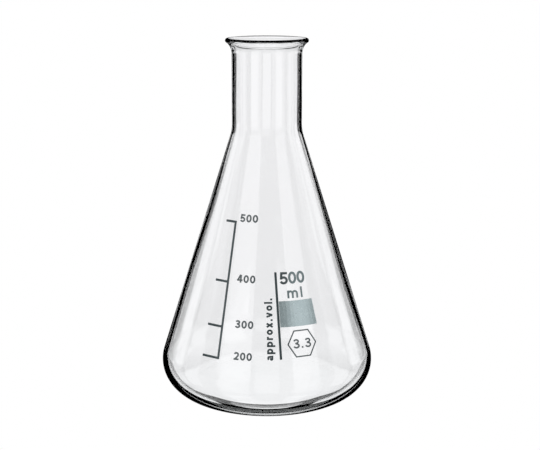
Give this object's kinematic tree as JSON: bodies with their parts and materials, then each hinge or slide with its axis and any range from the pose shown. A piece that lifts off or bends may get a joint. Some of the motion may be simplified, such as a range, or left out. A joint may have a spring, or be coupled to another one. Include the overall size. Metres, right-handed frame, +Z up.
{
  "type": "erlenmeyer flask",
  "caption": "Conical laboratory flask of clear glass with a narrow beaded neck, rounded heel, printed volume scale and writing patch.",
  "frame": {"origin": "middle of the base, on the surface that the flask stands on", "axes": "+Z up the axis of the flask; -Y towards the printed side; +X to the right of the print"},
  "size_m": [0.105, 0.105, 0.175],
  "materials": {
    "glass": "clear borosilicate glass, polished",
    "enamel": "fired slate grey enamel, satin",
    "patch_enamel": "fired pale slate enamel, matt enough to take pencil"
  },
  "bodies": {
    "root": {"flask_body": "glass", "graduation_scale": "enamel", "graduation_500_1_digit_5": "enamel", "graduation_500_2_digit_0": "enamel", "graduation_500_3_digit_0": "enamel", "graduation_400_1_digit_4": "enamel", "graduation_400_2_digit_0": "enamel", "graduation_400_3_digit_0": "enamel", "graduation_300_1_digit_3": "enamel", "graduation_300_2_digit_0": "enamel", "graduation_300_3_digit_0": "enamel", "graduation_200_1_digit_2": "enamel", "graduation_200_2_digit_0": "enamel", "graduation_200_3_digit_0": "enamel", "capacity_1_digit_5": "enamel", "capacity_2_digit_0": "enamel", "capacity_3_digit_0": "enamel", "unit_letter_m": "enamel", "unit_letter_l": "enamel", "label_bar": "enamel", "note_letter_01_a": "enamel", "note_letter_02_p": "enamel", "note_letter_03_p": "enamel", "note_letter_04_r": "enamel", "note_letter_05_o": "enamel", "note_letter_06_x": "enamel", "note_letter_07_point": "enamel", "note_letter_08_v": "enamel", "note_letter_09_o": "enamel", "note_letter_10_l": "enamel", "note_letter_11_point": "enamel", "glass_mark_hexagon": "enamel", "glass_mark_1_digit_3": "enamel", "glass_mark_2_point": "enamel", "glass_mark_3_digit_3": "enamel", "writing_patch": "patch_enamel"}
  },
  "joints": []
}
